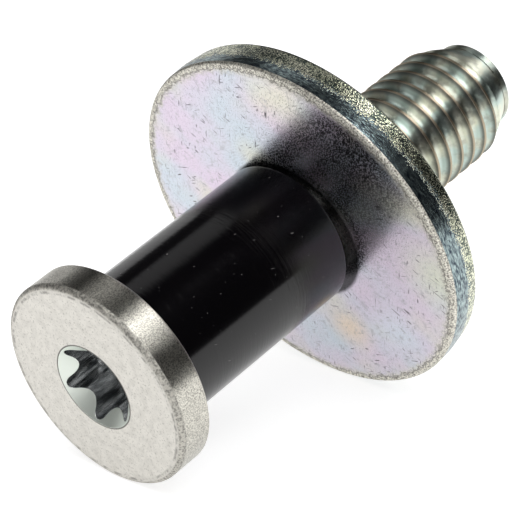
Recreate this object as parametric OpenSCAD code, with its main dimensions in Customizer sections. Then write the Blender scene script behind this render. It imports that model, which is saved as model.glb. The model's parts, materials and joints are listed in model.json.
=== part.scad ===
// Tailgate striker bolt: a cold-formed steel bolt with a disc head and a six-lobe drive recess,
// a plastic sleeve that turns on its shank, and a large loose washer held captive by the stud.
// It lies as it comes to rest on a table, on the rim of the washer and the edge of the head.

/* [Head] */
// Diameter of the disc head
head_d = 17; // [14:0.5:24]
// Thickness of the head
head_t = 3; // [2:0.1:5]
// Rounding of the head's front edge
head_edge_r = 0.45; // [0.2:0.05:0.8]
// Chamfer on the head's back edge
head_back_chamfer = 0.15; // [0.05:0.05:0.4]
// Fillet between the head and the shank
head_fillet_r = 0.3; // [0.1:0.05:0.6]

/* [Drive recess] */
// Size across the points of the six lobes
drive_point_d = 6.7; // [6.2:0.05:7.6]
// Size across the waists between the lobes
drive_waist_d = 4.85; // [4.4:0.05:5.3]
// Radius of each lobe
drive_lobe_r = 0.53; // [0.35:0.01:0.7]
// Depth of the lobed wall below the face
drive_depth = 3.4; // [2:0.1:4.5]
// Margin of the conical mouth outside the points of the lobes
drive_mouth_margin = 0.15; // [0.05:0.05:0.5]
// Slope of the conical mouth, measured from the face
drive_mouth_slope = 45; // [25:1:60]
// Slope of the cone at the bottom of the recess, measured from the face
drive_floor_slope = 28; // [10:1:40]
// Turn of the recess about the bolt's axis
drive_turn = 13; // [0:1:60]

/* [Shank and sleeve] */
// Length of the sleeve
sleeve_len = 18.4; // [12:0.1:30]
// Wall of the sleeve
sleeve_wall = 0.95; // [0.6:0.05:3]
// Running clearance between the shank and the sleeve, on the radius
sleeve_clearance = 0.05; // [0.02:0.01:0.1]
// Free gap at each end of the sleeve
sleeve_end_gap = 0.1; // [0.05:0.05:0.5]
// Rounding of the sleeve's outer edges
sleeve_edge_r = 0.3; // [0.1:0.05:0.5]
// Step from the neck up to the shank, on the radius
shoulder_step = 0.5; // [0.4:0.05:2]
// Chamfer on the edge of the shoulder
shoulder_chamfer = 0.2; // [0.05:0.05:0.3]

/* [Washer] */
// Outside diameter of the washer
washer_d = 30; // [24:0.5:40]
// Thickness of the washer
washer_t = 3.4; // [2:0.1:5]
// Free play of the bore round the neck, on the radius
washer_clearance = 0.3; // [0.25:0.05:0.45]
// Lean of the loose washer, top towards the head, as the bolt lies
washer_lean = 5; // [0:0.5:6]
// Rounding of the rim and the bore at the back, drawn down by the punch
washer_back_r = 0.6; // [0.55:0.05:1]
// Chamfer on the front edge of the bore
washer_bore_chamfer = 0.2; // [0.1:0.05:0.5]
// Gap left between the sleeve and the nearest point of the leaning washer
washer_front_gap = 0.4; // [0.1:0.1:2]
// Gap left between the leaning washer and the start of the thread
washer_back_gap = 0.1; // [0.1:0.1:2]

/* [Stud] */
// Outside diameter of the thread
thread_d = 10; // [8:0.5:14]
// Rise of the rolled thread above the neck, on the radius
thread_rise = 0.5; // [0.4:0.05:0.8]
// Length of the stud, from the end of the neck to the tip
stud_len = 18.9; // [12:0.1:40]
// Length of the tapered lead-in
taper_len = 2.8; // [1:0.1:5]
// Diameter of the nose at the tip
nose_d = 7.5; // [5:0.1:7.6]
// Length of the nose
nose_len = 0.8; // [0.5:0.1:3]
// Rounding of the nose's edge
nose_edge_r = 0.25; // [0.1:0.05:0.4]

/* [Hidden] */
$fn = 128;

// Steps in each rounded corner of an outline
corner_steps = 6;
// Steps in each arc of the drive recess
lobe_steps = 8;
// Length by which a cut runs past the face that it opens
cut_past = 1;
// Turn of each revolved shape about its axis, which keeps its seam off the table
seam_turn = 90;
lobe_count = 6;
lobe_pitch = 360 / lobe_count;

head_r = head_d / 2;
thread_r = thread_d / 2;
neck_r = thread_r - thread_rise;
shank_r = neck_r + shoulder_step;
sleeve_bore_r = shank_r + sleeve_clearance;
sleeve_r = sleeve_bore_r + sleeve_wall;
// The bore of the sleeve is eased at its ends to clear the fillet under the head
sleeve_bore_chamfer = min(head_fillet_r, sleeve_wall / 2);
washer_r = washer_d / 2;
washer_bore_r = neck_r + washer_clearance;
nose_r = nose_d / 2;

// Stations along the bolt's axis, from the face of the head
sleeve_start = head_t + sleeve_end_gap;
sleeve_end = sleeve_start + sleeve_len;
shoulder_end = sleeve_end + sleeve_end_gap;
washer_front = sleeve_end + washer_front_gap + sleeve_r * tan(washer_lean);
washer_middle = washer_front + washer_t / 2;
washer_back = washer_front + washer_t;
thread_start = washer_back + washer_back_gap + washer_bore_r * tan(washer_lean);
tip = thread_start + stud_len;
nose_start = tip - nose_len;
taper_start = nose_start - taper_len;

// Radius of the bulges between the lobes, which meet the lobes in a smooth line
lobe_centre = drive_point_d / 2 - drive_lobe_r;
waist_r = drive_waist_d / 2;
bulge_top = pow(drive_lobe_r, 2) - pow(lobe_centre, 2) - pow(waist_r, 2) + sqrt(3) * lobe_centre * waist_r;
bulge_r = bulge_top / (2 * waist_r - sqrt(3) * lobe_centre - 2 * drive_lobe_r);
bulge_centre = waist_r + bulge_r;
// Direction, seen from a lobe's centre, in which the lobe meets the bulge beside it
lobe_half_angle = atan2(bulge_centre * sin(lobe_pitch / 2), bulge_centre * cos(lobe_pitch / 2) - lobe_centre);
bulge_half_angle = lobe_half_angle - lobe_pitch / 2;
drive_mouth_r = drive_point_d / 2 + drive_mouth_margin;

// Lowest corner of the leaning washer: its station, and its drop below the bolt's axis
rim_station = washer_middle - washer_t / 2 * cos(washer_lean) + washer_r * sin(washer_lean);
rim_drop = washer_r * cos(washer_lean) + washer_t / 2 * sin(washer_lean);
// The bolt lies with that corner and its head's front edge on the table
rest_run = rim_station - head_edge_r;
rest_rise = rim_drop - head_r + head_edge_r;
rest_tilt = atan2(rest_rise, rest_run) - asin(head_edge_r / norm([rest_run, rest_rise]));
rest_low = rim_station * sin(rest_tilt) - rim_drop * cos(rest_tilt);
head_reach = head_edge_r * cos(rest_tilt) - (head_r - head_edge_r) * sin(rest_tilt) - head_edge_r;
nose_edge_run = (tip - nose_edge_r) * cos(rest_tilt) + (nose_r - nose_edge_r) * sin(rest_tilt);
tip_reach = nose_edge_run + nose_edge_r;
rest_middle = (head_reach + tip_reach) / 2;

// Points on an arc, from one direction to another, both ends included
function arc(centre, radius, from, to, steps) =
    [for (i = [0 : steps]) let (a = from + (to - from) * i / steps) centre + radius * [cos(a), sin(a)]];

// Places a shape that is built upright on its head, with the axis on Z, as the bolt lies
module lying() {
    translate([-rest_middle, 0, -rest_low])
        rotate([0, 90 - rest_tilt, 0])
            children();
}

// Revolves an outline about Z
module turned() {
    rotate(seam_turn)
        rotate_extrude()
            children();
}

// Turned outline of the bolt: head, shank, neck and stud
module bolt_outline() {
    polygon(concat(
        [[0, 0]],
        arc([head_r - head_edge_r, head_edge_r], head_edge_r, -90, 0, corner_steps),
        [[head_r, head_t - head_back_chamfer], [head_r - head_back_chamfer, head_t]],
        arc([shank_r + head_fillet_r, head_t + head_fillet_r], head_fillet_r, 270, 180, corner_steps),
        [[shank_r, shoulder_end - shoulder_chamfer], [shank_r - shoulder_chamfer, shoulder_end]],
        [[neck_r, shoulder_end], [neck_r, thread_start]],
        [[thread_r, thread_start + thread_rise], [thread_r, taper_start], [nose_r, nose_start]],
        arc([nose_r - nose_edge_r, tip - nose_edge_r], nose_edge_r, 0, 90, corner_steps),
        [[0, tip]]
    ));
}

// Six-lobe outline of the drive: lobes point outwards, and smooth bulges lie between them
module drive_outline() {
    polygon([
        for (k = [0 : lobe_count - 1])
            let (
                lobe = k * lobe_pitch,
                bulge = lobe + lobe_pitch / 2,
                lobe_arc = arc(
                    lobe_centre * [cos(lobe), sin(lobe)], drive_lobe_r,
                    lobe - lobe_half_angle, lobe + lobe_half_angle, lobe_steps
                ),
                bulge_arc = arc(
                    bulge_centre * [cos(bulge), sin(bulge)], bulge_r,
                    bulge + 180 + bulge_half_angle, bulge + 180 - bulge_half_angle, lobe_steps
                )
            )
            each concat(
                lobe_arc,
                [for (i = [1 : lobe_steps - 1]) bulge_arc[i]]
            )
    ]);
}

// Drive recess: a lobed wall with a conical mouth above it and a shallow conical floor below it
module drive_recess() {
    mouth_past_r = drive_mouth_r + cut_past / tan(drive_mouth_slope);
    mouth_depth = drive_mouth_r * tan(drive_mouth_slope);
    floor_r = waist_r * cos(lobe_pitch / 2);
    rotate(drive_turn) {
        translate([0, 0, -cut_past])
            linear_extrude(drive_depth + cut_past)
                drive_outline();
        translate([0, 0, -cut_past])
            cylinder(h = mouth_depth + cut_past, r1 = mouth_past_r, r2 = 0);
        // A short cylinder inside the lobed wall ties the floor's cone to it
        translate([0, 0, drive_depth - cut_past])
            cylinder(h = cut_past, r = floor_r);
        translate([0, 0, drive_depth])
            cylinder(h = floor_r * tan(drive_floor_slope), r1 = floor_r, r2 = 0);
    }
}

// The bolt, one cold-formed piece of zinc-plated steel
module striker_bolt() {
    color("#b9b8ad")
        lying()
            difference() {
                turned()
                    bolt_outline();
                drive_recess();
            }
}

// Plastic sleeve that turns freely on the shank and quietens the latch
module sleeve() {
    outer = sleeve_r - sleeve_edge_r;
    eased = sleeve_bore_r + sleeve_bore_chamfer;
    color("#17181a")
        lying()
            turned()
                polygon(concat(
                    [[sleeve_bore_r, sleeve_start + sleeve_bore_chamfer], [eased, sleeve_start]],
                    arc([outer, sleeve_start + sleeve_edge_r], sleeve_edge_r, -90, 0, corner_steps),
                    arc([outer, sleeve_end - sleeve_edge_r], sleeve_edge_r, 0, 90, corner_steps),
                    [[eased, sleeve_end], [sleeve_bore_r, sleeve_end - sleeve_bore_chamfer]]
                ));
}

// Large punched washer, loose on the neck: crisp edge towards the head, rolled edge towards the stud
module washer() {
    eased = washer_bore_r + washer_bore_chamfer;
    rim = washer_r - washer_back_r;
    bore = washer_bore_r + washer_back_r;
    face = washer_t / 2;
    color("#c3c3bb")
        lying()
            translate([0, 0, washer_middle])
                rotate([0, -washer_lean, 0])
                    turned()
                        polygon(concat(
                            [[washer_bore_r, washer_bore_chamfer - face], [eased, -face], [washer_r, -face]],
                            arc([rim, face - washer_back_r], washer_back_r, 0, 90, corner_steps),
                            arc([bore, face - washer_back_r], washer_back_r, 90, 180, corner_steps)
                        ));
}

striker_bolt();
sleeve();
washer();
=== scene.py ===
"""Tailgate striker bolt, dressed piece by piece in the order in which it is put together."""
import json
import math

import bmesh
import bpy
from mathutils import Matrix, Vector


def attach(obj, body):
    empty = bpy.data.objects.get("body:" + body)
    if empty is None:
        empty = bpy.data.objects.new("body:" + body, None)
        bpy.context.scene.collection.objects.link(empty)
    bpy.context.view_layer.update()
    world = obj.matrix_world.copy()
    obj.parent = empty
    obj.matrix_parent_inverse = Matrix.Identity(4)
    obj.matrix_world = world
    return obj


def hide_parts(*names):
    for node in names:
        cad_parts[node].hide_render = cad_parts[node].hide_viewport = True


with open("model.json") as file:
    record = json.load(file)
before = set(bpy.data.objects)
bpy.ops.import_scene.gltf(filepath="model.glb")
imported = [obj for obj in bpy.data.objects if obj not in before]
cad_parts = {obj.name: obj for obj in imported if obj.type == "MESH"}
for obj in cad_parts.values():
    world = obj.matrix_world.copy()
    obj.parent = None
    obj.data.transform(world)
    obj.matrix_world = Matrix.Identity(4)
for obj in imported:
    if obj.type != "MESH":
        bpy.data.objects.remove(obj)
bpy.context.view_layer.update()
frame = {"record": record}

# The striker bolt
# One piece of steel, headed cold: a disc head with a six-lobe drive, shank, neck and stud.
# Its thread is rolled, not cut, and the whole bolt is zinc plated with a thin clear passivation.
MM = 0.001
ROUND_STEPS = 192
MERGE_WITHIN = 0.001
SMOOTH_BELOW = 32
head_r = 8.5
head_t = 3.0
head_edge_r = 0.45
head_back_chamfer = 0.15
head_fillet_r = 0.3
shank_r = 5.0
neck_r = 4.5
shoulder_end = 21.6
shoulder_chamfer = 0.2
thread_r = 5.0
thread_pitch = 1.5
thread_start = 26.345
thread_fade = 1.3
taper_len = 2.8
nose_r = 3.75
nose_len = 0.8
nose_edge_r = 0.25
bolt_len = 45.245
seam_gap = 0.1
nose_start = bolt_len - nose_len
taper_start = nose_start - taper_len
bolt_mounts = {mount["name"]: mount for mount in frame["record"]["mounts"]}
head_centre = Vector(bolt_mounts["drive_socket"]["pos_m"])
bolt_axis = -Vector(bolt_mounts["drive_socket"]["axis"]).normalized()


def lying(centre, axis):
    """Place of a piece that is modelled upright on Z, with its X turned down to the table."""
    turn = Matrix((Vector((axis.z, 0, -axis.x)), Vector((0, 1, 0)), axis)).transposed()
    return Matrix.Translation(centre) @ turn.to_4x4()


def rounded(centre, radius, start, end, steps=8):
    """Points of a rounded corner, from one direction to another in degrees."""
    turns = [math.radians(start + (end - start) * i / steps) for i in range(steps + 1)]
    return [(centre[0] + radius * math.cos(a), centre[1] + radius * math.sin(a)) for a in turns]


def draw_outline(name, points):
    """Draws a line through points by extruding one vertex, and stays in edit mode."""
    bpy.ops.object.select_all(action="DESELECT")
    bpy.ops.mesh.primitive_plane_add(size=1)
    piece = bpy.context.object
    piece.name = name
    bpy.ops.object.mode_set(mode="EDIT")
    bpy.ops.mesh.select_mode(type="VERT")
    bpy.ops.mesh.merge(type="CENTER")
    bpy.ops.transform.translate(value=points[0])
    for here, there in zip(points, points[1:]):
        bpy.ops.mesh.extrude_region_move(TRANSFORM_OT_translate={"value": Vector(there) - Vector(here)})
    bpy.ops.mesh.select_all(action="SELECT")
    return piece


def turn_on_lathe(name, outline):
    """Spins an outline of (radius, station) points about Z and closes its seam and poles."""
    piece = draw_outline(name, [(r, 0, z) for r, z in outline])
    bpy.ops.mesh.spin(steps=ROUND_STEPS, angle=math.tau, center=(0, 0, 0), axis=(0, 0, 1))
    bpy.ops.mesh.select_all(action="SELECT")
    bpy.ops.mesh.remove_doubles(threshold=MERGE_WITHIN)
    bpy.ops.mesh.normals_make_consistent(inside=False)
    bpy.ops.object.mode_set(mode="OBJECT")
    return piece


def cut_out(piece, cutter):
    """Cuts one piece with another and throws the cutter away."""
    cut = piece.modifiers.new("cut", "BOOLEAN")
    cut.operation = "DIFFERENCE"
    cut.solver = "EXACT"
    cut.object = cutter
    bpy.context.view_layer.objects.active = piece
    bpy.ops.object.modifier_apply(modifier=cut.name)
    bpy.data.objects.remove(cutter)


def lay_in_place(piece, place):
    """Turns an upright piece in millimetres to its place in the frame, and applies that to its mesh."""
    bpy.ops.object.select_all(action="DESELECT")
    piece.select_set(True)
    bpy.context.view_layer.objects.active = piece
    piece.matrix_world = place @ Matrix.Scale(MM, 4)
    bpy.ops.object.transform_apply(location=True, rotation=True, scale=True)
    bpy.ops.object.shade_smooth_by_angle(angle=math.radians(SMOOTH_BELOW))


bolt_place = lying(head_centre, bolt_axis)
edge_support = 0.08
bolt = turn_on_lathe("plated_bolt", (
    [(0, 0), (head_r - head_edge_r - edge_support, 0)]
    + rounded((head_r - head_edge_r, head_edge_r), head_edge_r, -90, 0)
    + [(head_r, head_edge_r + edge_support), (head_r, head_t - head_back_chamfer - edge_support)]
    + [(head_r, head_t - head_back_chamfer), (head_r - head_back_chamfer, head_t)]
    + rounded((shank_r + head_fillet_r, head_t + head_fillet_r), head_fillet_r, 270, 180)
    + [(shank_r, shoulder_end - shoulder_chamfer), (shank_r - shoulder_chamfer, shoulder_end)]
    + [(neck_r, shoulder_end), (neck_r, thread_start - seam_gap), (0, thread_start - seam_gap)]
))

# Drive recess: six lobes with smooth bulges between them, a conical mouth and a shallow conical floor
lobe_count = 6
lobe_pitch = 360 / lobe_count
drive_across_points = 6.7
drive_across_bulges = 4.85
lobe_r = 0.53
lobe_centre = drive_across_points / 2 - lobe_r
bulge_r = 1.56
bulge_centre = drive_across_bulges / 2 + bulge_r
drive_depth = 3.4
drive_floor_depth = 1.1
drive_turn = 13
mouth_r = 3.5
cut_past = 1.0
half_turn = math.radians(lobe_pitch / 2)
lobe_half = math.degrees(math.atan2(
    bulge_centre * math.sin(half_turn), bulge_centre * math.cos(half_turn) - lobe_centre
))
drive_outline = []
for k in range(lobe_count):
    lobe = drive_turn + k * lobe_pitch
    bulge = lobe + lobe_pitch / 2
    outward = (math.cos(math.radians(lobe)), math.sin(math.radians(lobe)))
    across = (math.cos(math.radians(bulge)), math.sin(math.radians(bulge)))
    bulge_half = lobe_half - lobe_pitch / 2
    drive_outline += rounded(
        (lobe_centre * outward[0], lobe_centre * outward[1]), lobe_r, lobe - lobe_half, lobe + lobe_half
    )
    drive_outline += rounded(
        (bulge_centre * across[0], bulge_centre * across[1]), bulge_r,
        bulge + 180 + bulge_half, bulge + 180 - bulge_half
    )[1:-1]
punch = draw_outline("drive_punch", [(x, y, -cut_past) for x, y in drive_outline])
bpy.ops.mesh.edge_face_add()
bpy.ops.mesh.extrude_region_move(TRANSFORM_OT_translate={"value": (0, 0, drive_depth + cut_past)})
bpy.ops.mesh.extrude_region_move(TRANSFORM_OT_translate={"value": (0, 0, drive_floor_depth)})
bpy.ops.mesh.merge(type="CENTER")
bpy.ops.mesh.select_all(action="SELECT")
bpy.ops.mesh.normals_make_consistent(inside=False)
bpy.ops.object.mode_set(mode="OBJECT")
cut_out(bolt, punch)
bpy.ops.object.select_all(action="DESELECT")
bpy.ops.mesh.primitive_cone_add(
    vertices=ROUND_STEPS, radius1=mouth_r + cut_past, radius2=0, depth=mouth_r + cut_past,
    location=(0, 0, (mouth_r - cut_past) / 2)
)
cut_out(bolt, bpy.context.object)

# Rolled thread: one tooth is drawn and screwed round the stud, then runs out at the neck and the nose
thread_steps = 96
flank_slope = 60
root_fillet = 0.27 * thread_pitch
crest_half = thread_pitch / 16
crest_dip = 0.03
flank_run = thread_pitch / 2 - crest_half - root_fillet * math.sin(math.radians(flank_slope))
root_r = thread_r - root_fillet / 2 - flank_run * math.tan(math.radians(flank_slope))
thread_turns = math.ceil((bolt_len - thread_start) / thread_pitch) + 2
thread_low = thread_start - thread_pitch
root_arc = rounded((root_r + root_fillet, 0), root_fillet, 180, 180 - flank_slope, steps=6)
tooth = (
    root_arc
    + [(thread_r, thread_pitch / 2 - crest_half), (thread_r - crest_dip, thread_pitch / 2)]
    + [(thread_r, thread_pitch / 2 + crest_half)]
    + [(r, thread_pitch - z) for r, z in reversed(root_arc)]
)
thread = draw_outline("rolled_thread", [(r, 0, thread_low + z) for r, z in tooth])
bpy.ops.object.mode_set(mode="OBJECT")
roll = thread.modifiers.new("roll", "SCREW")
roll.angle = math.tau
roll.screw_offset = thread_pitch
roll.iterations = thread_turns
roll.steps = thread_steps
roll.render_steps = thread_steps
roll.use_merge_vertices = True
roll.merge_threshold = MERGE_WITHIN
bpy.ops.object.modifier_apply(modifier=roll.name)
for vertex in thread.data.vertices:
    radius = math.hypot(vertex.co.x, vertex.co.y)
    run = min(max((vertex.co.z - thread_start) / thread_fade, 0), 1)
    wanted = neck_r + (radius - neck_r) * run * run * (3 - 2 * run)
    narrowing = max(vertex.co.z - taper_start, 0) / taper_len
    wanted = min(wanted, max(thread_r + (nose_r - thread_r) * narrowing, nose_r))
    vertex.co.x *= wanted / radius
    vertex.co.y *= wanted / radius
bpy.ops.object.mode_set(mode="EDIT")
for station, clear_low in ((thread_start, True), (nose_start, False)):
    bpy.ops.mesh.select_all(action="SELECT")
    bpy.ops.mesh.bisect(
        plane_co=(0, 0, station), plane_no=(0, 0, 1), clear_inner=clear_low, clear_outer=not clear_low
    )
bpy.ops.object.mode_set(mode="OBJECT")

nose = turn_on_lathe("nose", (
    [(nose_r, nose_start + seam_gap)]
    + rounded((nose_r - nose_edge_r, bolt_len - nose_edge_r), nose_edge_r, 0, 90)
    + [(nose_r - nose_edge_r - edge_support, bolt_len), (0, bolt_len)]
))

# The three lengths are joined, and their rims bridged into one closed skin
bpy.ops.object.select_all(action="DESELECT")
for piece in (nose, thread, bolt):
    piece.select_set(True)
bpy.context.view_layer.objects.active = bolt
bpy.ops.object.join()
bpy.ops.object.mode_set(mode="EDIT")
bpy.ops.mesh.select_mode(type="FACE")
skin = bmesh.from_edit_mesh(bolt.data)
for face in skin.faces:
    at_end = all(abs(corner.co.z - thread_start + seam_gap) < MERGE_WITHIN for corner in face.verts)
    face.select_set(at_end)
bmesh.update_edit_mesh(bolt.data)
bpy.ops.mesh.delete(type="FACE")
bpy.ops.mesh.select_mode(type="EDGE")
for station in (thread_start, nose_start):
    skin = bmesh.from_edit_mesh(bolt.data)
    for edge in skin.edges:
        at_rim = all(abs(corner.co.z - station) < 2 * seam_gap for corner in edge.verts)
        edge.select_set(edge.is_boundary and at_rim)
    bmesh.update_edit_mesh(bolt.data)
    bpy.ops.mesh.bridge_edge_loops()
bpy.ops.mesh.select_all(action="SELECT")
bpy.ops.mesh.normals_make_consistent(inside=False)
bpy.ops.object.mode_set(mode="OBJECT")


def srgb(code):
    """Linear colour of an sRGB hex code."""
    parts = [int(code[i:i + 2], 16) / 255 for i in (1, 3, 5)]
    return tuple(p / 12.92 if p <= 0.04045 else ((p + 0.055) / 1.055) ** 2.4 for p in parts) + (1.0,)


def add_node(material, kind, sockets, **settings):
    """Adds a node to a material with its settings, and sets or links its inputs.

    A mix of colours takes its share in socket 0 and its colours in 6 and 7, and gives output 2.
    A mix of numbers takes its share in socket 0 and its numbers in 2 and 3, and gives output 0.
    """
    node = material.node_tree.nodes.new(kind)
    for key, value in settings.items():
        setattr(node, key, value)
    for key, value in sockets.items():
        if isinstance(value, bpy.types.NodeSocket):
            material.node_tree.links.new(value, node.inputs[key])
        else:
            node.inputs[key].default_value = value
    return node


def new_material(name, place):
    """Starts a material whose patterns are in millimetres, on the upright axes of its piece."""
    material = bpy.data.materials.new(name)
    material.use_nodes = True
    material.node_tree.nodes.clear()
    spot = add_node(material, "ShaderNodeTexCoord", {})
    upright = add_node(material, "ShaderNodeMapping", {
        "Vector": spot.outputs["Object"], "Location": place.translation, "Rotation": place.to_euler(),
        "Scale": (MM, MM, MM),
    }, vector_type="TEXTURE")
    return material, upright.outputs["Vector"]


def finish_material(material, sockets):
    """Ends a material with its surface shader."""
    surface = add_node(material, "ShaderNodeBsdfPrincipled", sockets)
    add_node(material, "ShaderNodeOutputMaterial", {"Surface": surface.outputs["BSDF"]})


# Coined zinc: matt, pale and finely mottled, with dirt in its pits, a bruised ring near its edge and a
# dark line round the mouth of the recess, which is painted shade of its edge. Its pits are drawn coarser
# than they are, so that they show.
bruise_r = head_r - 0.52
coined_zinc, spot = new_material("coined zinc plate", bolt_place)
cloud = add_node(coined_zinc, "ShaderNodeTexNoise", {"Vector": spot, "Scale": 1 / 0.7, "Detail": 5})
pits = add_node(coined_zinc, "ShaderNodeTexNoise", {"Vector": spot, "Scale": 1 / 0.17, "Detail": 3})
scuffs = add_node(coined_zinc, "ShaderNodeTexNoise", {"Vector": spot, "Scale": 1 / 0.35, "Detail": 3})
across = add_node(coined_zinc, "ShaderNodeVectorMath", {0: spot, 1: (1, 1, 0)}, operation="MULTIPLY")
reach = add_node(coined_zinc, "ShaderNodeVectorMath", {0: across.outputs[0]}, operation="LENGTH")
pit_mask = add_node(coined_zinc, "ShaderNodeMapRange", {
    "Value": pits.outputs["Fac"], "From Min": 0.54, "From Max": 0.72, "To Max": 0.6,
}, interpolation_type="SMOOTHSTEP")
off_ring = add_node(coined_zinc, "ShaderNodeMath", {
    0: reach.outputs["Value"], 1: bruise_r,
}, operation="SUBTRACT")
near_ring = add_node(coined_zinc, "ShaderNodeMath", {0: off_ring.outputs[0]}, operation="ABSOLUTE")
ring = add_node(coined_zinc, "ShaderNodeMapRange", {
    "Value": near_ring.outputs[0], "From Min": 0.2, "From Max": 0.02, "To Max": 0.65,
}, interpolation_type="SMOOTHSTEP")
broken = add_node(coined_zinc, "ShaderNodeMapRange", {
    "Value": cloud.outputs["Fac"], "From Min": 0.42, "From Max": 0.6,
}, interpolation_type="SMOOTHSTEP")
ring_mask = add_node(coined_zinc, "ShaderNodeMath", {
    0: ring.outputs["Result"], 1: broken.outputs["Result"],
}, operation="MULTIPLY")
edge_mask = add_node(coined_zinc, "ShaderNodeMapRange", {
    "Value": reach.outputs["Value"], "From Min": head_r - 0.42, "From Max": head_r - 0.25, "To Max": 0.75,
}, interpolation_type="SMOOTHSTEP")
mottle = add_node(coined_zinc, "ShaderNodeMapRange", {
    "Value": cloud.outputs["Fac"], "From Min": 0.3, "From Max": 0.6,
})
body_tone = add_node(coined_zinc, "ShaderNodeMix", {
    0: mottle.outputs["Result"], 6: srgb("#d0cdc6"), 7: srgb("#dedbd4"),
}, data_type="RGBA")
dirt_and_shade_tone = add_node(coined_zinc, "ShaderNodeMix", {
    0: pit_mask.outputs["Result"], 6: body_tone.outputs[2], 7: srgb("#8f8b84"),
}, data_type="RGBA")
lump_tone = add_node(coined_zinc, "ShaderNodeMapRange", {
    "Value": pits.outputs["Fac"], "From Min": 0.36, "From Max": 0.58,
})
edge_tone = add_node(coined_zinc, "ShaderNodeMix", {
    0: lump_tone.outputs["Result"], 6: srgb("#6f6d68"), 7: srgb("#d0cdc4"),
}, data_type="RGBA")
worn_tone = add_node(coined_zinc, "ShaderNodeMix", {
    0: edge_mask.outputs["Result"], 6: dirt_and_shade_tone.outputs[2], 7: edge_tone.outputs[2],
}, data_type="RGBA")
tone = add_node(coined_zinc, "ShaderNodeMix", {
    0: ring_mask.outputs[0], 6: worn_tone.outputs[2], 7: srgb("#6a6762"),
}, data_type="RGBA")
# Painted shade: a dark line round the mouth of the recess
mouth_edge_shade = add_node(coined_zinc, "ShaderNodeMapRange", {
    "Value": reach.outputs["Value"], "From Min": mouth_r + 0.14, "From Max": mouth_r + 0.07,
    "To Max": 0.85,
}, interpolation_type="SMOOTHSTEP")
tone = add_node(coined_zinc, "ShaderNodeMix", {
    0: mouth_edge_shade.outputs["Result"], 6: tone.outputs[2], 7: srgb("#4c4b47"),
}, data_type="RGBA")
pitted = add_node(coined_zinc, "ShaderNodeBump", {
    "Height": pits.outputs["Fac"], "Strength": 0.5, "Distance": 0.03 * MM,
})
lumps = add_node(coined_zinc, "ShaderNodeMath", {
    0: scuffs.outputs["Fac"], 1: edge_mask.outputs["Result"],
}, operation="MULTIPLY")
rough = add_node(coined_zinc, "ShaderNodeBump", {
    "Height": lumps.outputs[0], "Strength": 1.0, "Distance": 0.12 * MM,
    "Normal": pitted.outputs["Normal"],
})
matt = add_node(coined_zinc, "ShaderNodeMapRange", {
    "Value": edge_mask.outputs["Result"], "To Min": 0.45, "To Max": 0.68,
})
finish_material(coined_zinc, {
    "Base Color": tone.outputs[2], "Metallic": 1.0, "Roughness": matt.outputs["Result"],
    "Normal": rough.outputs["Normal"],
})

# Headed zinc: the rim of the head and the shank, bright and grainy, with lines too fine to tell apart,
# which stretch its highlights round the rim. Its grain is drawn coarser than it is, so that it shows.
headed_zinc, spot = new_material("headed zinc plate", bolt_place)
grain = add_node(headed_zinc, "ShaderNodeTexNoise", {"Vector": spot, "Scale": 1 / 0.1, "Detail": 2})
smear = add_node(headed_zinc, "ShaderNodeTexNoise", {"Vector": spot, "Scale": 1 / 1.2, "Detail": 3})
grain_mask = add_node(headed_zinc, "ShaderNodeMapRange", {
    "Value": grain.outputs["Fac"], "From Min": 0.36, "From Max": 0.6,
})
body_tone = add_node(headed_zinc, "ShaderNodeMix", {
    0: grain_mask.outputs["Result"], 6: srgb("#9a978f"), 7: srgb("#e0ddd3"),
}, data_type="RGBA")
rough = add_node(headed_zinc, "ShaderNodeBump", {
    "Height": grain.outputs["Fac"], "Strength": 0.3, "Distance": 0.02 * MM,
})
gloss = add_node(headed_zinc, "ShaderNodeMapRange", {
    "Value": smear.outputs["Fac"], "From Min": 0.35, "From Max": 0.65, "To Min": 0.28, "To Max": 0.34,
})
along = add_node(headed_zinc, "ShaderNodeCombineXYZ", dict(zip("XYZ", bolt_axis)))
finish_material(headed_zinc, {
    "Base Color": body_tone.outputs[2], "Metallic": 1.0, "Roughness": gloss.outputs["Result"],
    "Normal": rough.outputs["Normal"], "Anisotropic": 0.95, "Tangent": along.outputs[0],
})

# Coined mouth: the bright, smooth cone that leads a bit into the drive recess, its edges a little worn
worn_edge = 0.1
mouth_zinc = new_material("coined zinc mouth", bolt_place)[0]
eased = add_node(mouth_zinc, "ShaderNodeBevel", {"Radius": worn_edge * MM}, samples=6)
finish_material(mouth_zinc, {
    "Base Color": srgb("#e8eee6"), "Metallic": 1.0, "Roughness": 0.5, "Normal": eased.outputs[0],
})

# Punched zinc: the dark, neutral walls of the drive recess, drawn into streaks by the punch
punched_zinc, spot = new_material("punched zinc plate", bolt_place)
drawn = add_node(punched_zinc, "ShaderNodeVectorMath", {
    0: spot, 1: (2.2, 2.2, 0.5),
}, operation="MULTIPLY")
streaks = add_node(punched_zinc, "ShaderNodeTexNoise", {
    "Vector": drawn.outputs[0], "Scale": 1.0, "Detail": 3,
})
drawn_light = add_node(punched_zinc, "ShaderNodeMapRange", {
    "Value": streaks.outputs["Fac"], "From Min": 0.36, "From Max": 0.66,
}, interpolation_type="SMOOTHSTEP")
tone = add_node(punched_zinc, "ShaderNodeMix", {
    0: drawn_light.outputs["Result"], 6: srgb("#787b7d"), 7: srgb("#eeefef"),
}, data_type="RGBA")
eased = add_node(punched_zinc, "ShaderNodeBevel", {"Radius": worn_edge * MM}, samples=6)
rough = add_node(punched_zinc, "ShaderNodeBump", {
    "Height": streaks.outputs["Fac"], "Strength": 0.5, "Distance": 0.05 * MM, "Normal": eased.outputs[0],
})
finish_material(punched_zinc, {
    "Base Color": tone.outputs[2], "Metallic": 1.0, "Roughness": 0.24, "Normal": rough.outputs["Normal"],
})
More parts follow.
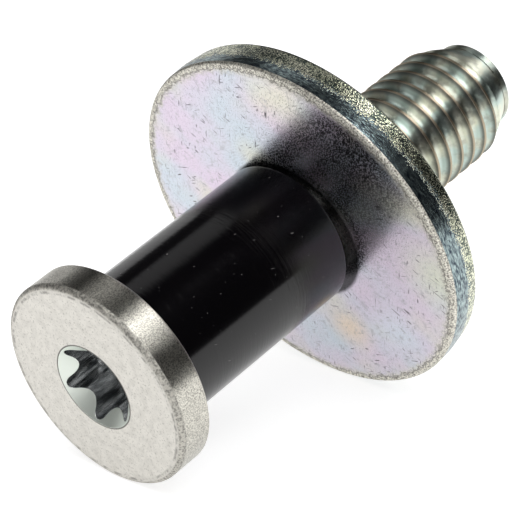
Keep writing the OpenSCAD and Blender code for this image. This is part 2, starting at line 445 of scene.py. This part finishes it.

# Rolled zinc: the thread, bright with a faint green cast, darker beside its crests as painted shade of the
# grooves, and brown along them.
# A film of grease dulls it in patches, and a dark band of painted reflection runs along one side, broken
# into patches.
dark_reflection_side = (-0.446, -0.894, 0)
rolled_zinc, spot = new_material("rolled zinc plate", bolt_place)
tint = add_node(rolled_zinc, "ShaderNodeTexNoise", {"Vector": spot, "Scale": 1 / 2.2, "Detail": 2})
smudge = add_node(rolled_zinc, "ShaderNodeTexNoise", {"Vector": spot, "Scale": 1 / 0.5, "Detail": 3})
across = add_node(rolled_zinc, "ShaderNodeVectorMath", {0: spot, 1: (1, 1, 0)}, operation="MULTIPLY")
reach = add_node(rolled_zinc, "ShaderNodeVectorMath", {0: across.outputs[0]}, operation="LENGTH")
crest = add_node(rolled_zinc, "ShaderNodeMapRange", {
    "Value": reach.outputs["Value"], "From Min": thread_r - 0.055, "From Max": thread_r - 0.03,
}, interpolation_type="SMOOTHSTEP")
# Painted shade: the flanks darken towards each crest, standing for the shade beside the crests
crest_shade = add_node(rolled_zinc, "ShaderNodeMapRange", {
    "Value": reach.outputs["Value"], "From Min": thread_r - 0.42, "From Max": thread_r - 0.08,
    "To Max": 0.75,
}, interpolation_type="SMOOTHSTEP")
shade = add_node(rolled_zinc, "ShaderNodeMapRange", {
    "Value": tint.outputs["Fac"], "From Min": 0.4, "From Max": 0.6,
}, interpolation_type="SMOOTHSTEP")
body_tone = add_node(rolled_zinc, "ShaderNodeMix", {
    0: shade.outputs["Result"], 6: srgb("#d2e2da"), 7: srgb("#f0f2e0"),
}, data_type="RGBA")
dirt_and_shade_tone = add_node(rolled_zinc, "ShaderNodeMix", {
    0: crest_shade.outputs["Result"], 6: body_tone.outputs[2], 7: srgb("#4f4a44"),
}, data_type="RGBA")
film = add_node(rolled_zinc, "ShaderNodeTexNoise", {"Vector": spot, "Scale": 1 / 1.1, "Detail": 4})
grease = add_node(rolled_zinc, "ShaderNodeMapRange", {
    "Value": film.outputs["Fac"], "From Min": 0.46, "From Max": 0.72, "To Max": 0.4,
}, interpolation_type="SMOOTHSTEP")
# Painted reflection: a dark band along one side of the thread, broken into patches, standing for the dark
# reflection there
outward = add_node(rolled_zinc, "ShaderNodeVectorMath", {0: across.outputs[0]}, operation="NORMALIZE")
facing = add_node(rolled_zinc, "ShaderNodeVectorMath", {
    0: outward.outputs[0], 1: dark_reflection_side,
}, operation="DOT_PRODUCT")
reflection_band = add_node(rolled_zinc, "ShaderNodeMapRange", {
    "Value": facing.outputs["Value"], "From Min": 0.95, "From Max": 0.995, "To Max": 0.6,
}, interpolation_type="SMOOTHSTEP")
patchy = add_node(rolled_zinc, "ShaderNodeMapRange", {
    "Value": smudge.outputs["Fac"], "From Min": 0.3, "From Max": 0.55, "To Min": 0.45,
}, interpolation_type="SMOOTHSTEP")
smear = add_node(rolled_zinc, "ShaderNodeMath", {
    0: reflection_band.outputs["Result"], 1: patchy.outputs["Result"],
}, operation="MULTIPLY")
off_end = add_node(rolled_zinc, "ShaderNodeMapRange", {
    "Value": reach.outputs["Value"], "From Min": nose_r - 0.3, "From Max": nose_r - 0.05,
}, interpolation_type="SMOOTHSTEP")
smear = add_node(rolled_zinc, "ShaderNodeMath", {
    0: smear.outputs[0], 1: off_end.outputs["Result"],
}, operation="MULTIPLY")
# Grease patches and the painted reflection band, taken together
grease_and_reflection = add_node(rolled_zinc, "ShaderNodeMath", {
    0: smear.outputs[0], 1: grease.outputs["Result"],
}, operation="MAXIMUM")
dirt_and_shade_tone = add_node(rolled_zinc, "ShaderNodeMix", {
    0: grease_and_reflection.outputs[0], 6: dirt_and_shade_tone.outputs[2], 7: srgb("#35342f"),
}, data_type="RGBA")
height = add_node(rolled_zinc, "ShaderNodeSeparateXYZ", {0: spot})
# Darker towards the nose end
nose_darkening = add_node(rolled_zinc, "ShaderNodeMapRange", {
    "Value": height.outputs["Z"], "From Min": nose_start - 0.4, "From Max": nose_start + 0.1,
    "To Max": 0.2,
}, interpolation_type="SMOOTHSTEP")
nose_tone = add_node(rolled_zinc, "ShaderNodeMix", {
    0: nose_darkening.outputs["Result"], 6: dirt_and_shade_tone.outputs[2], 7: srgb("#8d8a82"),
}, data_type="RGBA")
tone = add_node(rolled_zinc, "ShaderNodeMix", {
    0: crest.outputs["Result"], 6: nose_tone.outputs[2], 7: srgb("#bdb09a"),
}, data_type="RGBA")
rough = add_node(rolled_zinc, "ShaderNodeBump", {
    "Height": smudge.outputs["Fac"], "Strength": 0.2, "Distance": 0.08 * MM,
})
along = add_node(rolled_zinc, "ShaderNodeCombineXYZ", dict(zip("XYZ", bolt_axis)))
finish_material(rolled_zinc, {
    "Base Color": tone.outputs[2], "Metallic": 1.0, "Roughness": 0.38, "Normal": rough.outputs["Normal"],
    "Anisotropic": 0.92, "Tangent": along.outputs[0],
})

bolt.data.materials.clear()
coined_slot, headed_slot, punched_slot, rolled_slot, mouth_slot = range(5)
for material in (coined_zinc, headed_zinc, punched_zinc, rolled_zinc, mouth_zinc):
    bolt.data.materials.append(material)
for face in bolt.data.polygons:
    station = face.center.z
    reach = math.hypot(face.center.x, face.center.y)
    if station >= thread_start - seam_gap:
        face.material_index = rolled_slot
    elif station > head_t + 0.01 and reach > neck_r - 0.1:
        face.material_index = headed_slot
    elif reach < mouth_r and station > 0.01:
        on_cone = face.normal.z < -0.5 and station < drive_depth / 2
        face.material_index = mouth_slot if on_cone else punched_slot
    elif station > head_edge_r:
        face.material_index = headed_slot
    else:
        face.material_index = coined_slot
lay_in_place(bolt, bolt_place)
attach(bolt, "bolt")
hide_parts("striker_bolt")

# The sleeve
# A tube of glossy black plastic that slides on the shank and turns freely there.
# Turned from rod and left with fine lines round it; the latch closes on it.
sleeve_r = 6.0
sleeve_bore_r = 5.05
sleeve_start = 3.1
sleeve_end = 21.5
sleeve_edge_r = 0.3
sleeve_bore_ease = 0.3
sleeve = turn_on_lathe("black_sleeve", (
    [(sleeve_bore_r, sleeve_start + sleeve_bore_ease), (sleeve_bore_r + sleeve_bore_ease, sleeve_start)]
    + rounded((sleeve_r - sleeve_edge_r, sleeve_start + sleeve_edge_r), sleeve_edge_r, -90, 0)
    + [(sleeve_r, sleeve_start + sleeve_edge_r + edge_support)]
    + [(sleeve_r, sleeve_end - sleeve_edge_r - edge_support)]
    + rounded((sleeve_r - sleeve_edge_r, sleeve_end - sleeve_edge_r), sleeve_edge_r, 0, 90)
    + [(sleeve_bore_r + sleeve_bore_ease, sleeve_end), (sleeve_bore_r, sleeve_end - sleeve_bore_ease)]
    + [(sleeve_bore_r, sleeve_start + sleeve_bore_ease)]
))

# Turned acetal: near black with a hint of purple, glossy, with lines round it, a few specks of dust and
# short pale nicks. The lines of the tool are drawn coarser than they are, so that they show.
turned_acetal, spot = new_material("turned black acetal", bolt_place)
line_spot = add_node(turned_acetal, "ShaderNodeVectorMath", {
    0: spot, 1: (0.3, 0.3, 7.0),
}, operation="MULTIPLY")
lines = add_node(turned_acetal, "ShaderNodeTexNoise", {
    "Vector": line_spot.outputs[0], "Scale": 1.0, "Detail": 3,
})
specks = add_node(turned_acetal, "ShaderNodeTexNoise", {"Vector": spot, "Scale": 1 / 0.2, "Detail": 0})
speck_mask = add_node(turned_acetal, "ShaderNodeMapRange", {
    "Value": specks.outputs["Fac"], "From Min": 0.85, "From Max": 0.9, "To Max": 0.25,
}, interpolation_type="SMOOTHSTEP")
nick_spot = add_node(turned_acetal, "ShaderNodeMapping", {
    "Vector": spot, "Rotation": (0, math.radians(25), 0), "Scale": (0.2, 0.2, 1.1),
}, vector_type="TEXTURE")
nicks = add_node(turned_acetal, "ShaderNodeTexNoise", {
    "Vector": nick_spot.outputs[0], "Scale": 1.0, "Detail": 0,
})
nick_mask = add_node(turned_acetal, "ShaderNodeMapRange", {
    "Value": nicks.outputs["Fac"], "From Min": 0.83, "From Max": 0.9, "To Max": 0.3,
}, interpolation_type="SMOOTHSTEP")
marks = add_node(turned_acetal, "ShaderNodeMath", {
    0: speck_mask.outputs["Result"], 1: nick_mask.outputs["Result"],
}, operation="MAXIMUM")
tone = add_node(turned_acetal, "ShaderNodeMix", {
    0: marks.outputs[0], 6: srgb("#040305"), 7: srgb("#a9a6a4"),
}, data_type="RGBA")
rough = add_node(turned_acetal, "ShaderNodeBump", {
    "Height": lines.outputs["Fac"], "Strength": 0.6, "Distance": 0.02 * MM,
})
finish_material(turned_acetal, {
    "Base Color": tone.outputs[2], "Metallic": 0.0, "Roughness": 0.14, "IOR": 1.45,
    "Normal": rough.outputs["Normal"],
})
sleeve.data.materials.append(turned_acetal)
lay_in_place(sleeve, bolt_place)
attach(sleeve, "sleeve")
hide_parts("sleeve")

# The washer
# A thick steel washer, loose on the neck and held there by the rolled thread.
# Punched from sheet: its face towards the head falls away to an eased edge, its rim has a sheared and a
# torn band, and rim and bore are rounded at the back. Zinc plated and passivated.
washer_r = 15.0
washer_t = 3.4
washer_bore_r = 4.8
washer_back_r = 0.6
washer_bore_ease = 0.2
washer_front_ease = 0.25
washer_roll_start = 8.0
washer_roll_depth = 0.22
washer_roll_steps = 10
washer_roll_power = 2.5
washer_torn_start = 1.6
washer_torn_taper = 0.16
washer_joint = next(
    joint for joint in frame["record"]["behaviour"]["joints"] if joint["child"] == "washer"
)
washer_place = lying(Vector(washer_joint["pos_m"]), Vector(washer_joint["axis"]).normalized())
washer_face = washer_t / 2
washer_torn_r = washer_r - washer_torn_taper
washer_roll_reach = washer_r - washer_roll_start
washer_roll = []
for i in range(washer_roll_steps + 1):
    share = i / washer_roll_steps * (washer_roll_reach - washer_front_ease) / washer_roll_reach
    washer_roll.append((
        washer_roll_start + share * washer_roll_reach,
        washer_roll_depth * share ** washer_roll_power - washer_face,
    ))
washer_ease_centre = (washer_roll[-1][0], washer_roll[-1][1] + washer_front_ease)
washer = turn_on_lathe("punched_washer", (
    [(washer_bore_r, washer_bore_ease - washer_face), (washer_bore_r + washer_bore_ease, -washer_face)]
    + [(washer_bore_r + washer_bore_ease + edge_support, -washer_face)]
    + washer_roll[:-1]
    + rounded(washer_ease_centre, washer_front_ease, -90, 0, steps=5)
    + [(washer_r, washer_torn_start - washer_face)]
    + rounded((washer_torn_r - washer_back_r, washer_face - washer_back_r), washer_back_r, 0, 90)
    + [(washer_torn_r - washer_back_r - edge_support, washer_face)]
    + [(washer_bore_r + washer_back_r + edge_support, washer_face)]
    + rounded((washer_bore_r + washer_back_r, washer_face - washer_back_r), washer_back_r, 90, 180)
    + [(washer_bore_r, washer_bore_ease - washer_face)]
))

# Punched sheet with zinc plate: semi-gloss and grainy, with soft lilac, blue and yellow clouds and a few
# single stains of passivation, short dark scratches, a thin dark ring round the sleeve's end, which is
# painted shade of the gap between sleeve and washer, and a bruised, creamy outer edge with a dark line in
# it, which is painted shade along the edge. Its grain is drawn coarser than it is, so that it shows.
sheet_zinc, spot = new_material("zinc plated sheet", washer_place)
cloud = add_node(sheet_zinc, "ShaderNodeTexNoise", {"Vector": spot, "Scale": 1 / 7.0, "Detail": 2})
drift = add_node(sheet_zinc, "ShaderNodeTexNoise", {"Vector": spot, "Scale": 1 / 5.0, "Detail": 1})
mottle = add_node(sheet_zinc, "ShaderNodeTexNoise", {"Vector": spot, "Scale": 1 / 0.5, "Detail": 4})
grain = add_node(sheet_zinc, "ShaderNodeTexNoise", {"Vector": spot, "Scale": 1 / 0.12, "Detail": 2})
across = add_node(sheet_zinc, "ShaderNodeVectorMath", {0: spot, 1: (1, 1, 0)}, operation="MULTIPLY")
reach = add_node(sheet_zinc, "ShaderNodeVectorMath", {0: across.outputs[0]}, operation="LENGTH")
cool = add_node(sheet_zinc, "ShaderNodeMapRange", {
    "Value": cloud.outputs["Fac"], "From Min": 0.35, "From Max": 0.65,
}, interpolation_type="SMOOTHSTEP")
warm = add_node(sheet_zinc, "ShaderNodeMapRange", {
    "Value": drift.outputs["Fac"], "From Min": 0.45, "From Max": 0.8, "To Max": 0.8,
}, interpolation_type="SMOOTHSTEP")
body_tone = add_node(sheet_zinc, "ShaderNodeMix", {
    0: cool.outputs["Result"], 6: srgb("#d9ccdc"), 7: srgb("#cad3dc"),
}, data_type="RGBA")
clouded_tone = add_node(sheet_zinc, "ShaderNodeMix", {
    0: warm.outputs["Result"], 6: body_tone.outputs[2], 7: srgb("#d9d7c2"),
}, data_type="RGBA")
# Stains: place on the face, reach and colour
stains = (
    (8.9, -3.0, 3.2, "#efd3b4"),
    (0.5, -14.0, 5.0, "#d9e0c2"),
    (-12.9, -2.5, 4.0, "#e0dfc6"),
    (7.5, -8.0, 4.0, "#d6dee8"),
)
for x, y, size, colour in stains:
    off = add_node(sheet_zinc, "ShaderNodeVectorMath", {
        0: spot, 1: (x, y, -washer_face),
    }, operation="DISTANCE")
    stain = add_node(sheet_zinc, "ShaderNodeMapRange", {
        "Value": off.outputs["Value"], "From Min": size, "From Max": 0, "To Max": 0.65,
    }, interpolation_type="SMOOTHSTEP")
    clouded_tone = add_node(sheet_zinc, "ShaderNodeMix", {
        0: stain.outputs["Result"], 6: clouded_tone.outputs[2], 7: srgb(colour),
    }, data_type="RGBA")
mottle_mask = add_node(sheet_zinc, "ShaderNodeMapRange", {
    "Value": mottle.outputs["Fac"], "From Min": 0.52, "From Max": 0.75, "To Max": 0.5,
}, interpolation_type="SMOOTHSTEP")
mottled_tone = add_node(sheet_zinc, "ShaderNodeMix", {
    0: mottle_mask.outputs["Result"], 6: clouded_tone.outputs[2], 7: srgb("#a5a4a8"),
}, data_type="RGBA")
scratches = None
scratch_turns = (15, 75, 130)
for turn in scratch_turns:
    swept = add_node(sheet_zinc, "ShaderNodeMapping", {
        "Vector": spot, "Rotation": (0, 0, math.radians(turn)), "Scale": (0.85, 0.15, 1.0),
    }, vector_type="TEXTURE")
    strokes = add_node(sheet_zinc, "ShaderNodeTexNoise", {
        "Vector": swept.outputs[0], "Scale": 1.0, "Detail": 0,
    })
    mask = add_node(sheet_zinc, "ShaderNodeMapRange", {
        "Value": strokes.outputs["Fac"], "From Min": 0.75, "From Max": 0.82, "To Max": 0.9,
    }, interpolation_type="SMOOTHSTEP")
    if scratches:
        mask = add_node(sheet_zinc, "ShaderNodeMath", {
            0: mask.outputs[0], 1: scratches,
        }, operation="MAXIMUM")
    scratches = mask.outputs[0]
handled = add_node(sheet_zinc, "ShaderNodeTexNoise", {"Vector": spot, "Scale": 1 / 3.0, "Detail": 2})
handled_mask = add_node(sheet_zinc, "ShaderNodeMapRange", {
    "Value": handled.outputs["Fac"], "From Min": 0.42, "From Max": 0.62, "To Min": 0.25,
}, interpolation_type="SMOOTHSTEP")
scratch_mask = add_node(sheet_zinc, "ShaderNodeMath", {
    0: scratches, 1: handled_mask.outputs["Result"],
}, operation="MULTIPLY")
scratched_tone = add_node(sheet_zinc, "ShaderNodeMix", {
    0: scratch_mask.outputs[0], 6: mottled_tone.outputs[2], 7: srgb("#4a474b"),
}, data_type="RGBA")
frayed = add_node(sheet_zinc, "ShaderNodeMath", {
    0: mottle.outputs["Fac"], 1: 0.9, 2: reach.outputs["Value"],
}, operation="MULTIPLY_ADD")
edge_mask = add_node(sheet_zinc, "ShaderNodeMapRange", {
    "Value": frayed.outputs[0], "From Min": washer_r - 0.7, "From Max": washer_r + 0.1,
}, interpolation_type="SMOOTHSTEP")
edge_grain = add_node(sheet_zinc, "ShaderNodeMapRange", {
    "Value": grain.outputs["Fac"], "From Min": 0.36, "From Max": 0.58,
})
edge_tone = add_node(sheet_zinc, "ShaderNodeMix", {
    0: edge_grain.outputs["Result"], 6: srgb("#85817a"), 7: srgb("#f0ede2"),
}, data_type="RGBA")
worn_tone = add_node(sheet_zinc, "ShaderNodeMix", {
    0: edge_mask.outputs["Result"], 6: scratched_tone.outputs[2], 7: edge_tone.outputs[2],
}, data_type="RGBA")
# Painted shade: a dark ring round the sleeve's end, standing for the shade in the gap between sleeve and
# washer
gap_shade_mask = add_node(sheet_zinc, "ShaderNodeMapRange", {
    "Value": reach.outputs["Value"], "From Min": sleeve_r + 0.4, "From Max": sleeve_r, "To Max": 0.9,
}, interpolation_type="SMOOTHSTEP")
gap_shaded_tone = add_node(sheet_zinc, "ShaderNodeMix", {
    0: gap_shade_mask.outputs["Result"], 6: worn_tone.outputs[2], 7: srgb("#19191b"),
}, data_type="RGBA")
# Painted shade: a thin dark line along the eased outer edge
off_line = add_node(sheet_zinc, "ShaderNodeMath", {
    0: frayed.outputs[0], 1: washer_r - 0.1,
}, operation="SUBTRACT")
near_line = add_node(sheet_zinc, "ShaderNodeMath", {0: off_line.outputs[0]}, operation="ABSOLUTE")
edge_shade_line = add_node(sheet_zinc, "ShaderNodeMapRange", {
    "Value": near_line.outputs[0], "From Min": 0.09, "From Max": 0.03, "To Max": 0.5,
}, interpolation_type="SMOOTHSTEP")
tone = add_node(sheet_zinc, "ShaderNodeMix", {
    0: edge_shade_line.outputs["Result"], 6: gap_shaded_tone.outputs[2], 7: srgb("#56524c"),
}, data_type="RGBA")
rough = add_node(sheet_zinc, "ShaderNodeBump", {
    "Height": grain.outputs["Fac"], "Strength": 0.3, "Distance": 0.02 * MM,
})
flecks = add_node(sheet_zinc, "ShaderNodeMapRange", {
    "Value": grain.outputs["Fac"], "From Min": 0.5, "From Max": 0.68, "To Min": 0.21, "To Max": 0.55,
}, interpolation_type="SMOOTHSTEP")
matt = add_node(sheet_zinc, "ShaderNodeMix", {
    0: edge_mask.outputs["Result"], 2: flecks.outputs["Result"], 3: 0.55,
}, data_type="FLOAT")
finish_material(sheet_zinc, {
    "Base Color": tone.outputs[2], "Metallic": 1.0, "Roughness": matt.outputs[0],
    "Normal": rough.outputs["Normal"],
})

# Dull back: the same plate under a thicker film, part metal and part pale film, which scatters light
dull_zinc, spot = new_material("dull zinc back", washer_place)
cloud = add_node(dull_zinc, "ShaderNodeTexNoise", {"Vector": spot, "Scale": 1 / 5.0, "Detail": 2})
mottle = add_node(dull_zinc, "ShaderNodeTexNoise", {"Vector": spot, "Scale": 1 / 0.5, "Detail": 5})
hue = add_node(dull_zinc, "ShaderNodeMapRange", {
    "Value": cloud.outputs["Fac"], "From Min": 0.38, "From Max": 0.62,
}, interpolation_type="SMOOTHSTEP")
body_tone = add_node(dull_zinc, "ShaderNodeMix", {
    0: hue.outputs["Result"], 6: srgb("#dcd2de"), 7: srgb("#d8ddd4"),
}, data_type="RGBA")
specks = add_node(dull_zinc, "ShaderNodeMapRange", {
    "Value": mottle.outputs["Fac"], "From Min": 0.3, "From Max": 0.55,
}, interpolation_type="SMOOTHSTEP")
tone = add_node(dull_zinc, "ShaderNodeMix", {
    0: specks.outputs["Result"], 6: srgb("#bab8ba"), 7: body_tone.outputs[2],
}, data_type="RGBA")
rough = add_node(dull_zinc, "ShaderNodeBump", {
    "Height": mottle.outputs["Fac"], "Strength": 0.3, "Distance": 0.03 * MM,
})
finish_material(dull_zinc, {
    "Base Color": tone.outputs[2], "Metallic": 0.2, "Roughness": 0.4, "Normal": rough.outputs["Normal"],
})

# Punched rim: a dark, bluish band where the punch sheared the sheet, then a rough one where it broke
# away, which glitters and shows a yellow-green cast; the line between them is ragged and runs askew
shear_side = (-0.334, 0.942)
shear_askew = 0.5
ragged_depth = 2.4
rim_zinc, spot = new_material("punched zinc rim", washer_place)
swept = add_node(rim_zinc, "ShaderNodeVectorMath", {0: spot, 1: (2.5, 2.5, 8.0)}, operation="MULTIPLY")
sheen = add_node(rim_zinc, "ShaderNodeTexNoise", {"Vector": swept.outputs[0], "Scale": 1.0, "Detail": 4})
crumbs = add_node(rim_zinc, "ShaderNodeTexNoise", {"Vector": spot, "Scale": 1 / 0.13, "Detail": 2})
swarms = add_node(rim_zinc, "ShaderNodeTexNoise", {"Vector": spot, "Scale": 1 / 0.9, "Detail": 2})
tint = add_node(rim_zinc, "ShaderNodeTexNoise", {"Vector": spot, "Scale": 1 / 1.5, "Detail": 2})
grain = add_node(rim_zinc, "ShaderNodeMix", {
    0: 0.3, 2: crumbs.outputs["Fac"], 3: swarms.outputs["Fac"],
}, data_type="FLOAT")
shear_slope = shear_askew / washer_r
askew = add_node(rim_zinc, "ShaderNodeVectorMath", {
    0: spot, 1: (shear_side[0] * shear_slope, shear_side[1] * shear_slope, 1),
}, operation="DOT_PRODUCT")
ragged = add_node(rim_zinc, "ShaderNodeMath", {
    0: grain.outputs[0], 1: ragged_depth, 2: askew.outputs["Value"],
}, operation="MULTIPLY_ADD")
torn_from = washer_torn_start - washer_face + ragged_depth / 2
torn = add_node(rim_zinc, "ShaderNodeMapRange", {
    "Value": ragged.outputs[0], "From Min": torn_from - 0.1, "From Max": torn_from + 0.1,
}, interpolation_type="SMOOTHSTEP")
sparkle = add_node(rim_zinc, "ShaderNodeMapRange", {
    "Value": sheen.outputs["Fac"], "From Min": 0.35, "From Max": 0.65,
})
burnished_tone = add_node(rim_zinc, "ShaderNodeMix", {
    0: sparkle.outputs["Result"], 6: srgb("#2f3b4b"), 7: srgb("#b2c4c4"),
}, data_type="RGBA")
cast = add_node(rim_zinc, "ShaderNodeMix", {
    0: tint.outputs["Fac"], 6: srgb("#e0e8c6"), 7: srgb("#fffae8"),
}, data_type="RGBA")
hollow = add_node(rim_zinc, "ShaderNodeMapRange", {
    "Value": grain.outputs[0], "From Min": 0.46, "From Max": 0.54,
})
torn_tone = add_node(rim_zinc, "ShaderNodeMix", {
    0: hollow.outputs["Result"], 6: srgb("#55625a"), 7: cast.outputs[2],
}, data_type="RGBA")
tone = add_node(rim_zinc, "ShaderNodeMix", {
    0: torn.outputs["Result"], 6: burnished_tone.outputs[2], 7: torn_tone.outputs[2],
}, data_type="RGBA")
faint = add_node(rim_zinc, "ShaderNodeMath", {0: sheen.outputs["Fac"], 1: 0.35}, operation="MULTIPLY")
relief = add_node(rim_zinc, "ShaderNodeMix", {
    0: torn.outputs["Result"], 2: faint.outputs[0], 3: grain.outputs[0],
}, data_type="FLOAT")
rough = add_node(rim_zinc, "ShaderNodeBump", {
    "Height": relief.outputs[0], "Strength": 0.6, "Distance": 0.08 * MM,
})
finish_material(rim_zinc, {
    "Base Color": tone.outputs[2], "Metallic": 1.0, "Roughness": 0.25, "Normal": rough.outputs["Normal"],
})
sheet_slot, rim_slot, back_slot = range(3)
for material in (sheet_zinc, rim_zinc, dull_zinc):
    washer.data.materials.append(material)
for face in washer.data.polygons:
    height = face.center.z + washer_face
    if math.hypot(face.center.x, face.center.y) < washer_r - washer_back_r:
        face.material_index = back_slot if height > washer_t / 2 else sheet_slot
    elif height > washer_roll_depth + washer_front_ease:
        face.material_index = rim_slot
lay_in_place(washer, washer_place)
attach(washer, "washer")
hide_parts("washer")

# The table and the light
# A pale table top under a broad overhead light, with soft panels for the metal to mirror. The table glows
# a little for the camera, so that it is white there, and for the metal, which mirrors it.
table_size = 0.5
table_seen = 0.78
table_mirrored = 0.67
room_dim = 0.03
room_seen = 1.0
bpy.ops.object.select_all(action="DESELECT")
bpy.ops.mesh.primitive_plane_add(size=table_size)
table = bpy.context.object
table.name = "table"
table_white = bpy.data.materials.new("white table top")
table_white.use_nodes = True
table_white.node_tree.nodes.clear()
matt = add_node(table_white, "ShaderNodeBsdfDiffuse", {"Color": srgb("#bcbcbc")})
sight = add_node(table_white, "ShaderNodeLightPath", {})
mirrored = add_node(table_white, "ShaderNodeMath", {
    0: sight.outputs["Is Glossy Ray"], 1: sight.outputs["Is Transmission Ray"],
}, operation="MAXIMUM")
dimmed = add_node(table_white, "ShaderNodeMath", {
    0: mirrored.outputs[0], 1: table_mirrored,
}, operation="MULTIPLY")
lift = add_node(table_white, "ShaderNodeMath", {
    0: sight.outputs["Is Camera Ray"], 1: table_seen, 2: dimmed.outputs[0],
}, operation="MULTIPLY_ADD")
glow = add_node(table_white, "ShaderNodeEmission", {
    "Color": srgb("#ffffff"), "Strength": lift.outputs[0],
})
both = add_node(table_white, "ShaderNodeAddShader", {0: matt.outputs[0], 1: glow.outputs[0]})
add_node(table_white, "ShaderNodeOutputMaterial", {"Surface": both.outputs[0]})
table.data.materials.append(table_white)

# Lamps by name: direction from the part in degrees (azimuth, elevation), distance and size in metres,
# brightness, and whether glossy surfaces mirror them
lamps = (
    ("overhead", 150, 72, 1.5, 1.2, 2.4, False),
    ("front panel", -115, 50, 0.5, 0.32, 4.2, True),
    ("top panel", 48, 60, 0.5, 0.2, 0.5, True),
    ("side panel", 163, 50, 0.5, 0.2, 1.8, True),
    ("back panel", 62, 12, 0.8, 0.4, 0.7, True),
    ("rim panel", -20, 50, 0.5, 0.16, 4.0, True),
    ("tail panel", 0, 32, 0.6, 0.4, 0.35, True),
    ("tail fill", 0, 40, 1.0, 0.8, 0.8, False),
)
lamp_target = Vector((0, 0, 14 * MM))
for name, azimuth, elevation, distance, size, brightness, shows in lamps:
    a, e = math.radians(azimuth), math.radians(elevation)
    away = Vector((math.cos(a) * math.cos(e), math.sin(a) * math.cos(e), math.sin(e)))
    bpy.ops.object.light_add(type="AREA", location=lamp_target + away * distance)
    lamp = bpy.context.object
    lamp.name = name
    lamp.data.size = size
    lamp.data.energy = brightness * math.pi * size ** 2
    lamp.rotation_euler = away.to_track_quat("Z", "Y").to_euler()
    lamp.visible_glossy = shows

# A dim room, which the camera alone sees as white beyond the table
room = bpy.data.worlds.new("dim room")
room.use_nodes = True
room.node_tree.nodes.clear()
sight = add_node(room, "ShaderNodeLightPath", {})
level = add_node(room, "ShaderNodeMapRange", {
    "Value": sight.outputs["Is Camera Ray"], "To Min": room_dim, "To Max": room_seen,
})
glow = add_node(room, "ShaderNodeBackground", {
    "Color": srgb("#ffffff"), "Strength": level.outputs["Result"],
})
add_node(room, "ShaderNodeOutputWorld", {"Surface": glow.outputs[0]})
bpy.context.scene.world = room

# The camera
# It looks down at the head's face from the left, from a little above the table.
camera_place = Vector((-130.584, -115.561, 82.067)) * MM
camera_look = Vector((0.68600, 0.62361, -0.37484))
camera_data = bpy.data.cameras.new("camera")
camera_data.sensor_width = 36.0
camera_data.lens = 169.432
camera_data.clip_start = 0.01
camera = bpy.data.objects.new("camera", camera_data)
camera.location = camera_place
camera.rotation_euler = camera_look.to_track_quat("-Z", "Y").to_euler()
bpy.context.scene.collection.objects.link(camera)
bpy.context.scene.camera = camera
bpy.context.scene.view_settings.view_transform = "Standard"
